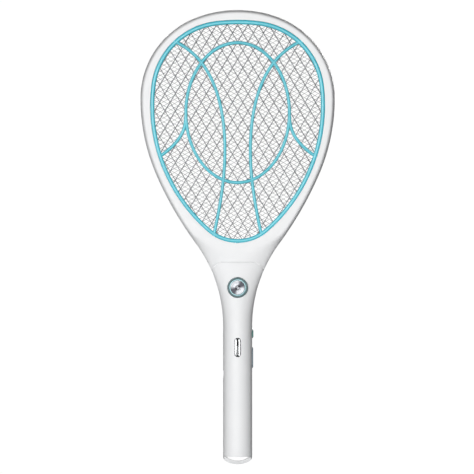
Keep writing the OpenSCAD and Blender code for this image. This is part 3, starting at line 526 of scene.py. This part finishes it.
# the piece stands for a node, on its body; edges turned past an angle stay sharp
def standFor(node, piece, sharp):
    piece.data.shade_smooth()
    piece.data.set_sharp_from_angle(angle=math.radians(sharp))
    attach(piece, nodeBodies[node])
    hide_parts(node)


# applies the modifiers, so that nothing live is left on the piece
def settle(piece):
    bpy.context.view_layer.update()
    shape = bpy.data.meshes.new_from_object(piece.evaluated_get(bpy.context.evaluated_depsgraph_get()))
    piece.modifiers.clear()
    piece.data = shape


# cuts each shape out of the piece, or joins it on
def cutWith(piece, *shapes, operation="DIFFERENCE"):
    for bm in shapes:
        bmesh.ops.recalc_face_normals(bm, faces=bm.faces)
        mesh = bpy.data.meshes.new("tool")
        bm.to_mesh(mesh)
        bm.free()
        tool = bpy.data.objects.new("tool", mesh)
        scene.collection.objects.link(tool)
        change = piece.modifiers.new("cut", "BOOLEAN")
        change.operation = operation
        change.solver = "MANIFOLD"
        change.object = tool
        settle(piece)
        bpy.data.objects.remove(tool)


# round bar between two levels on an axis
def rod(centre, radius, start, end, axis="Y", sides=40):
    bm = bmesh.new()
    turn = Matrix.Rotation(math.radians(90), 4, "X" if axis == "Y" else "Y")
    middle = Vector(centre)
    middle["XYZ".index(axis)] = (start + end) / 2
    bmesh.ops.create_cone(bm, cap_ends=True, segments=sides, radius1=radius * mm, radius2=radius * mm,
                          depth=abs(end - start) * mm, matrix=Matrix.Translation(middle * mm) @ turn)
    return bm


# the vertices that an extrude made
def newVerts(made):
    return [g for g in made["geom"] if isinstance(g, bmesh.types.BMVert)]


# outline with round ends, upright, facing along Y or X
def oblongLoop(bm, centre, width, length, level, axis="Y", sides=16):
    across = Vector((0, 1, 0)) if axis == "X" else Vector((1, 0, 0))
    along = Vector((1, 0, 0)) if axis == "X" else Vector((0, 1, 0))
    middle = Vector(centre)
    middle["XYZ".index(axis)] = level
    rise = Vector((0, 0, (length - width) / 2))
    for sign in (1, -1):
        start = bm.verts.new((middle + sign * (across * width / 2 + rise)) * mm)
        bmesh.ops.spin(bm, geom=[start], cent=(middle + sign * rise) * mm, axis=along,
                       angle=math.radians(180 if axis == "X" else -180), steps=sides)
    ends = [v for v in bm.verts if len(v.link_edges) == 1]
    for v in ends:  # joins the two half rounds along their straight sides
        if len(v.link_edges) == 1:
            partner = min((w for w in ends if w is not v and len(w.link_edges) == 1
                           and abs((w.co - v.co).dot(across)) < 1e-7), key=lambda w: (w.co - v.co).length)
            bm.edges.new((v, partner))
    return list(bm.edges)


def oblongPrism(centre, width, length, start, end, axis="Y"):
    bm = bmesh.new()
    edges = oblongLoop(bm, centre, width, length, start, axis)
    faces = bmesh.ops.contextual_create(bm, geom=edges)["faces"]
    made = bmesh.ops.extrude_face_region(bm, geom=faces)
    along = Vector((1, 0, 0)) if axis == "X" else Vector((0, 1, 0))
    bmesh.ops.translate(bm, verts=newVerts(made), vec=along * (end - start) * mm)
    return bm


rim = {"step": 4.0, "rings": 12, "even": 0.25, "wall": 2.2, "groove": 6.2, "edge": 0.5, "middle": (0, 370)}
screwHole = {"out": 4.7, "radius": 2.2, "seat": 5.0, "boss": 3.1, "back": 20,
             "angles": (24, 62, 100, 140, 180, 220, 260, 298, 336)}


# where a ray from the head's middle meets the head's side or the seam
def frameEdge(x, z):
    mid = Vector(rim["middle"])
    aim = (Vector((abs(x), z)) - mid).normalized()
    low, high = 0.0, 400.0
    for _ in range(40):
        reach = (low + high) / 2
        p = mid + aim * reach
        across = halfWidth(min(p.y, outline["top"] - 0.001))
        if p.x < across and seamHeight(p.x) < p.y < outline["top"]:
            low = reach
        else:
            high = reach
    p = mid + aim * low
    return (math.copysign(p.x, x), p.y)


# half of the head's frame as a closed solid, from rings between the window and the head's side
def headSolid(side):
    bm = bmesh.new()
    inner = windowLoop(bm, rim["step"])
    outer = newVerts(bmesh.ops.extrude_edge_only(bm, edges=inner))
    for v in outer:
        x, z = frameEdge(v.co.x / mm, v.co.z / mm)
        v.co = Vector((x, 0, z)) * mm
    for x, z in ((seam["flat"], seam["z"]), (halfWidth(seam["edgeZ"]), seam["edgeZ"])):
        for sign in (1, -1):  # the seam's corners stay sharp
            corner = Vector((sign * x, 0, z)) * mm
            min(outer, key=lambda v: (v.co - corner).length).co = corner
    outerSet = set(outer)
    cross = [e for e in bm.edges if (e.verts[0] in outerSet) != (e.verts[1] in outerSet)]
    ends = [[v.co.copy() for v in sorted(e.verts, key=lambda v: v not in outerSet)] for e in cross]
    bmesh.ops.subdivide_edges(bm, edges=cross, cuts=rim["rings"], use_grid_fill=True)
    # rings lie closer together at the outer edge, where the surface turns
    last = rim["rings"] + 1
    places = KDTree(len(ends) * (last + 1))
    for i, (a, b) in enumerate(ends):
        for j in range(last + 1):
            places.insert(a.lerp(b, j / last), i * (last + 1) + j)
    places.balance()
    for v in bm.verts:
        i, j = divmod(places.find(v.co)[1], last + 1)
        t = j / last
        v.co = ends[i][0].lerp(ends[i][1], rim["even"] * t + (1 - rim["even"]) * t * t)
    reach = cadBox[1][0]
    for v in bm.verts:
        v.co.y = side * surfaceHeight(v.co.x / mm, v.co.z / mm) * mm
        v.co.x = max(-reach, min(reach, v.co.x))
    closeTo(bm, 0)
    return bm


# closes an open surface into a solid with a flat base at a depth
def closeTo(bm, y):
    for v in newVerts(bmesh.ops.extrude_face_region(bm, geom=bm.faces[:])):
        v.co.y = y * mm
    bmesh.ops.recalc_face_normals(bm, faces=bm.faces)


def bevelEdges(bm, edges, width, segments):
    bmesh.ops.bevel(bm, geom=edges, offset=width * mm, offset_type="OFFSET", segments=segments, profile=0.5,
                    affect="EDGES", clamp_overlap=True, material=-1)


# rounds a closed solid's sharp edges before anything is cut from it
def roundEdges(bm, width, limit=50):
    edges = [e for e in bm.edges if len(e.link_faces) == 2 and e.calc_face_angle() > math.radians(limit)]
    bevelEdges(bm, edges, width, 3)


lip = {"reach": 18, "step": 3, "below": 5, "above": 1, "clear": 0.3, "thick": 1.2}


# lip behind the seam, which reaches down inside the handle
def neckLip(side):
    bm = bmesh.new()
    low, high = seam["z"] - lip["below"], seam["z"] + lip["above"]
    width = halfWidth(seam["edgeZ"]) - rim["wall"]
    tall = halfDepth(low) - rim["wall"] - depth["land"]
    line = []
    for x in range(-lip["reach"], lip["reach"] + 1, lip["step"]):
        y = depth["land"] + tall * math.sqrt(1 - (x / width) ** 2) - lip["clear"]
        line.append(bm.verts.new(Vector((x, side * y, low)) * mm))
    edges = [bm.edges.new(pair) for pair in zip(line, line[1:])]
    for v in newVerts(bmesh.ops.extrude_edge_only(bm, edges=edges)):
        v.co.z = high * mm
    bmesh.ops.recalc_face_normals(bm, faces=bm.faces)
    if bm.faces[:][0].normal.y * side < 0:
        bmesh.ops.reverse_faces(bm, faces=bm.faces)
    bmesh.ops.solidify(bm, geom=bm.faces[:], thickness=lip["thick"] * mm)
    bmesh.ops.recalc_face_normals(bm, faces=bm.faces)
    return bm


# the room inside half of the head's frame, as wide as the wall over it allows
def headHollow(side):
    bm = bmesh.new()
    loop = windowLoop(bm, rim["step"], rim["wall"])
    cover = rim["groove"] + 0.8 * rim["wall"]
    for v in newVerts(bmesh.ops.extrude_edge_only(bm, edges=loop)):
        x, z = frameEdge(v.co.x / mm, v.co.z / mm)
        edge, start = Vector((x, 0, z)), v.co / mm
        share = rim["wall"] / (start - edge).length
        while share < 0.9 and surfaceHeight(*edge.lerp(start, share).xz) < cover:
            share += 0.02
        v.co = edge.lerp(start, min(share, 0.9)) * mm
    for v in bm.verts:
        v.co.y = side * rim["groove"] * mm
    closeTo(bm, -side)
    return bm


def headHalf(name, side, node):
    outer = headSolid(side)
    roundEdges(outer, rim["edge"])
    piece = newPiece(name, outer, "white")
    cutWith(piece, headHollow(side))
    cutWith(piece, neckLip(side), operation="UNION")
    if side > 0:
        for angle in screwHole["angles"]:
            x, z = windowRay(angle, screwHole["out"])
            cutWith(piece, rod((x, 0, z), screwHole["boss"], 0.2, rim["groove"] + 0.6), operation="UNION")
            cutWith(piece, rod((x, 0, z), screwHole["radius"], screwHole["seat"], screwHole["back"]))
    standFor(node, piece, 40)


# points round the window's outline, moved outwards
def windowPoints(step, grow):
    bm = bmesh.new()
    points = [v.co / mm for v in spinChain(bm, (0, window["top"]), windowArcs(), step, grow)]
    bm.free()
    return points


# the point among them that a ray at an angle from straight down meets
def windowRay(angle, grow):
    turned = angle if angle <= 180 else angle - 360
    best = min(windowPoints(0.5, grow),
               key=lambda p: abs(math.degrees(math.atan2(p.x, rim["middle"][1] - p.z)) - turned))
    return best.x, best.z


guard = {"ring": 4.3, "rib": 3.4, "front": 11.8, "thick": 2.8, "gap": 0.25, "step": 3, "ovalLower": 0.05,
         "ribLower": 0.1, "ovalA": 57, "ovalB": 77, "ovalZ": 387, "ovalPoints": 120, "ribPoints": 60}
# control points of each rib's curve, in X and Z
ribCurves = [[(14, 345), (14, 398), (28, 448), (71, 466)], [(14, 345), (14, 315), (19, 285), (26.5, 251)],
             [(57.2, 383), (57, 362), (70, 350), (86, 338.5)]]
# half of a strip's crowned section: share of its half width, share of its height
stripShape = [(1, 0), (1, 0.62), (0.9, 0.8), (0.62, 0.94), (0, 1)]


# the edges of a loop through the vertices, in their order
def ringEdges(bm, ring):
    return [bm.edges.get(pair) or bm.edges.new(pair) for pair in zip(ring, ring[1:] + ring[:1])]


# runs a crowned strip along a path of points in X and Z
def addStrip(bm, path, width, side, back, front, closed=False):
    half, tall = width / 2, front - back
    shape = [(-half * u, tall * v) for u, v in stripShape]
    shape += [(half * u, tall * v) for u, v in stripShape[-2::-1]]
    count = len(path)
    rings = []
    for i, p in enumerate(path):
        before = path[(i - 1) % count] if closed or i > 0 else p
        after = path[(i + 1) % count] if closed or i < count - 1 else p
        along = (after - before).normalized()
        across = Vector((along.y, -along.x))
        places = [Vector((p.x + across.x * u, side * (back + v), p.y + across.y * u)) * mm for u, v in shape]
        if not rings:
            ring = [bm.verts.new(q) for q in places]
        else:
            matched = {}
            for v in newVerts(bmesh.ops.extrude_edge_only(bm, edges=edges)):
                partner = next(e.other_vert(v) for e in v.link_edges if e.other_vert(v) in rings[-1])
                matched[rings[-1].index(partner)] = v
            ring = [matched[j] for j in range(len(shape))]
            for v, q in zip(ring, places):
                v.co = q
        edges = ringEdges(bm, ring)
        rings.append(ring)
    if closed:
        bmesh.ops.bridge_loops(bm, edges=ringEdges(bm, rings[0]) + edges)
    else:
        bm.faces.new(rings[0])
        bm.faces.new(rings[-1])


def guardPiece(name, side, node):
    bm = bmesh.new()
    back, front = guard["front"] - guard["thick"], guard["front"]
    inwards = -guard["gap"] - guard["ring"] / 2
    points = [Vector((p.x, p.z)) for p in windowPoints(guard["step"], inwards)][:-1]
    addStrip(bm, points, guard["ring"], side, back, front, closed=True)
    angles = [360 / guard["ovalPoints"] * i for i in range(guard["ovalPoints"])]
    oval = [Vector((guard["ovalA"] * sine(a), guard["ovalZ"] + guard["ovalB"] * cosine(a))) for a in angles]
    addStrip(bm, oval, guard["rib"], side, back, front - guard["ovalLower"], closed=True)
    for curve in ribCurves:
        knots = [Vector((x, z, 0)) for x, z in curve]
        line = [p.to_2d() for p in interpolate_bezier(*knots, guard["ribPoints"])]
        line = [p for p in line if all((p - q).length > guard["ring"] * 0.35 for q in points)]
        for sign in (1, -1):
            rib = [Vector((sign * p.x, p.y)) for p in line]
            addStrip(bm, rib, guard["rib"], side, back, front - guard["ribLower"])
    bmesh.ops.recalc_face_normals(bm, faces=bm.faces)
    standFor(node, newPiece(name, bm, "cyan"), 50)


grip = {"low": 8.2, "rows": 56, "columns": 44, "wall": 2.2, "edge": 0.5, "seamShare": 0.7}
control = {"zapZ": 194.5, "zapHole": 11.4, "zapBack": -9, "modeZ": 128.6, "modeW": 7.2, "modeL": 21.2,
           "lightZ": 143.7, "lightHole": 5.0, "triggerZ": 117.5, "triggerW": 8.4, "triggerL": 23.4,
           "portZ": 99, "portY": -3.7, "portW": 9.3, "portT": 3.6, "outside": 20, "wallBack": 11,
           "sideBack": 10}
handleScrews = [(-7.2, 13.6), (7.2, 13.6), (7.2, 92), (-7.2, 150), (0, 180)]
neckScrews = [(-11, 213.5), (11, 213.5)]
# depths where a boss starts and ends, and where its screw's head sits
boss = {"start": 7.6, "seat": 9.6, "intoWall": 0.4, "neckStart": 7.5, "neckEnd": 9.9, "neckSeat": 9.2}


# half of the handle as a closed solid, from rows of points round it; inset moves it inwards
def handleSolid(side, inset=0.0):
    bm = bmesh.new()
    start = bm.verts.new((1, 0, 0))
    bmesh.ops.spin(bm, geom=[start], cent=(0, 0, 0), axis=(0, 0, 1), angle=math.radians(180) * side,
                   steps=grip["columns"])
    corner = halfWidth(seam["edgeZ"])
    step = 180 / grip["columns"]
    key = math.degrees(math.acos(seam["flat"] / corner))
    angles = [j * step for j in range(grip["columns"] + 1)]
    for target in (key, 180 - key):  # one column runs to each corner of the seam
        angles[round(target / step)] = target
    low = grip["low"] - (1 if inset else 0)
    rows = grip["rows"]
    edges = list(bm.edges)
    row = sorted(bm.verts, key=lambda v: -v.co.x)
    for i in range(rows + 1):
        t = i / rows
        edgeZ = low + (seam["edgeZ"] - low) * t
        width = halfWidth(edgeZ) - inset
        if i > 0:
            made = bmesh.ops.extrude_edge_only(bm, edges=edges)
            row = sorted(newVerts(made), key=lambda v: -v.co.x)
            edges = [g for g in made["geom"] if isinstance(g, bmesh.types.BMEdge)
                     and all(v in row for v in g.verts)]
        for v, angle in zip(row, angles):
            rise = seamHeight(corner * cosine(angle)) - seam["edgeZ"] - seam["gap"]
            z = edgeZ + smooth((t - grip["seamShare"]) / (1 - grip["seamShare"])) * rise
            x = width * cosine(angle)
            if inset:
                tall = depth["land"] + (halfDepth(z) - inset - depth["land"]) * sine(angle)
                z += t * t  # runs a little past the seam
            else:
                tall = surfaceHeight(x, z)
                if side > 0:
                    tall = min(tall, depth["rearFlat"])
            v.co = Vector((x, side * tall, z)) * mm
    closeTo(bm, -side if inset else 0)
    return bm


def handleHalf(name, side, node):
    outer = handleSolid(side)
    roundEdges(outer, grip["edge"])
    piece = newPiece(name, outer, "white")
    cutWith(piece, handleSolid(side, grip["wall"]))
    far, wall, inside = control["outside"], control["wallBack"], control["sideBack"]
    if side < 0:
        port = (0, control["portY"], control["portZ"])
        cutWith(piece,
                rod((0, 0, control["zapZ"]), control["zapHole"], -far, control["zapBack"], sides=96),
                oblongPrism((0, 0, control["modeZ"]), control["modeW"], control["modeL"], -far, -wall),
                oblongPrism(port, control["portT"], control["portW"], -far, -wall, axis="X"))
    trigger = (0, 0, control["triggerZ"])
    cutWith(piece,
            rod((0, 0, control["lightZ"]), control["lightHole"], inside, far, axis="X", sides=64),
            oblongPrism(trigger, control["triggerW"], control["triggerL"], inside, far, axis="X"))
    if side > 0:
        for x, z in handleScrews:
            reach = halfDepth(z) - grip["wall"]
            deep = reach * math.sqrt(1 - (x / (halfWidth(z) - grip["wall"])) ** 2) + boss["intoWall"]
            cutWith(piece, rod((x, 0, z), screwHole["boss"], boss["start"], deep), operation="UNION")
            cutWith(piece, rod((x, 0, z), screwHole["radius"], boss["seat"], screwHole["back"]))
        for x, z in neckScrews:
            cutWith(piece, rod((x, 0, z), screwHole["boss"], boss["neckStart"], boss["neckEnd"]),
                    operation="UNION")
            cutWith(piece, rod((x, 0, z), screwHole["radius"], boss["neckSeat"], screwHole["back"]))
    standFor(node, piece, 40)


# the round button's parts: radius and depth along each profile
turned = {"z": control["zapZ"], "sides": 96}
ringProfile = [(9.25, -12.4), (9.25, -14.75), (9.4, -15.0), (9.7, -15.1), (10.7, -15.1), (11.05, -15.0),
               (11.25, -14.75), (11.25, -12.4)]
plungerProfile = [(0, -14.7), (8.05, -14.7), (8.05, -15.3), (8.15, -15.4), (8.8, -15.4), (9.0, -15.3),
                  (9.05, -15.1), (9.05, -12.32), (10.05, -12.32), (10.05, -11.5), (0, -11.5)]
capProfile = [(0, -15.28), (1.2, -15.3), (1.7, -15.36), (1.9, -15.5), (2.3, -15.53), (2.5, -15.4),
              (2.8, -15.32), (5, -15.38), (7.2, -15.5), (7.6, -15.5), (7.85, -15.4), (7.95, -15.2),
              (7.95, -14.7), (0, -14.7)]


# turns a profile round the button's axis
def turnedPiece(name, profile, finish, node, closed=False):
    bm = bmesh.new()
    line = [bm.verts.new((r * mm, y * mm, turned["z"] * mm)) for r, y in profile]
    edges = [bm.edges.new(pair) for pair in zip(line, line[1:])]
    if closed:
        edges.append(bm.edges.new((line[-1], line[0])))
    bmesh.ops.spin(bm, geom=line + edges, cent=(0, 0, turned["z"] * mm), axis=(0, 1, 0),
                   angle=math.radians(360), steps=turned["sides"], use_merge=True)
    bmesh.ops.remove_doubles(bm, verts=bm.verts, dist=0.001 * mm)
    bmesh.ops.recalc_face_normals(bm, faces=bm.faces)
    standFor(node, newPiece(name, bm, finish), 35)


# small parts that keep the frame's shape, and how far each one's edges are rounded
softened = {"end_cap": 1.3, "mode_switch_bezel": 0.65, "mode_switch_knob": 0.1, "light_button": 0.35,
            "trigger_bar": 0.6, "battery_cell": 0.5, "zap_switch": 0.25, "light_switch": 0.25,
            "trigger_switch": 0.25, "mode_switch_body": 0.25, "transformer_core": 0.3,
            "transformer_winding": 0.5, "hv_capacitor": 0.8, "filter_capacitors": 0.25, "transistor": 0.2,
            "indicator_leds": 0.2, "battery_pads": 0.5, "main_board": 0.12, "handle_screws": 0.12,
            "head_screws": 0.12, "neck_screws": 0.12, "board_screws": 0.12, "charging_port": 0.1,
            "battery_tabs": 0.08}
# the two side buttons bulge out of the handle, so their outer edges are rounded the most
crowned = {"light_button": 1.3, "trigger_bar": 1.0}


def crownEdges(bm, width):
    outer = max(v.co.x for v in bm.verts) - 0.01 * mm
    edges = [e for e in bm.edges if min(v.co.x for v in e.verts) > outer and e.calc_face_angle(0) > 0.7]
    bevelEdges(bm, edges, width, 5)


def softenedPiece(node, width, finish):
    bm = bmesh.new()
    bm.from_mesh(nodes[node].data)
    bmesh.ops.remove_doubles(bm, verts=bm.verts, dist=0.0005 * mm)
    bmesh.ops.dissolve_limit(bm, angle_limit=math.radians(1), verts=bm.verts, edges=bm.edges)
    bmesh.ops.recalc_face_normals(bm, faces=bm.faces)
    if node in crowned:
        crownEdges(bm, crowned[node])
    roundEdges(bm, width, 40)
    words = [word.capitalize() for word in node.split("_")]
    standFor(node, newPiece("soft" + "".join(words), bm, finish), 35)


makeCamera()
makeLight()
makeFloor()
paintNodes()
headHalf("rimFront", -1, "head_frame_front")
headHalf("rimRear", 1, "head_frame_rear")
print("head done")
guardPiece("guardFront", -1, "front_grille")
guardPiece("guardRear", 1, "rear_grille")
print("guards done")
handleHalf("handleFront", -1, "handle_front_shell")
handleHalf("handleRear", 1, "handle_rear_shell")
print("handle done")
turnedPiece("lightRing", ringProfile, "ring", "button_ring", closed=True)
turnedPiece("buttonPlunger", plungerProfile, "button", "zap_button_plunger")
turnedPiece("buttonCap", capProfile, "spun", "zap_button_cap")
finishOf = {node: finish for finish, names in nodeFinish.items() for node in names}
for node, width in softened.items():
    softenedPiece(node, width, finishOf[node])
print("small parts done")
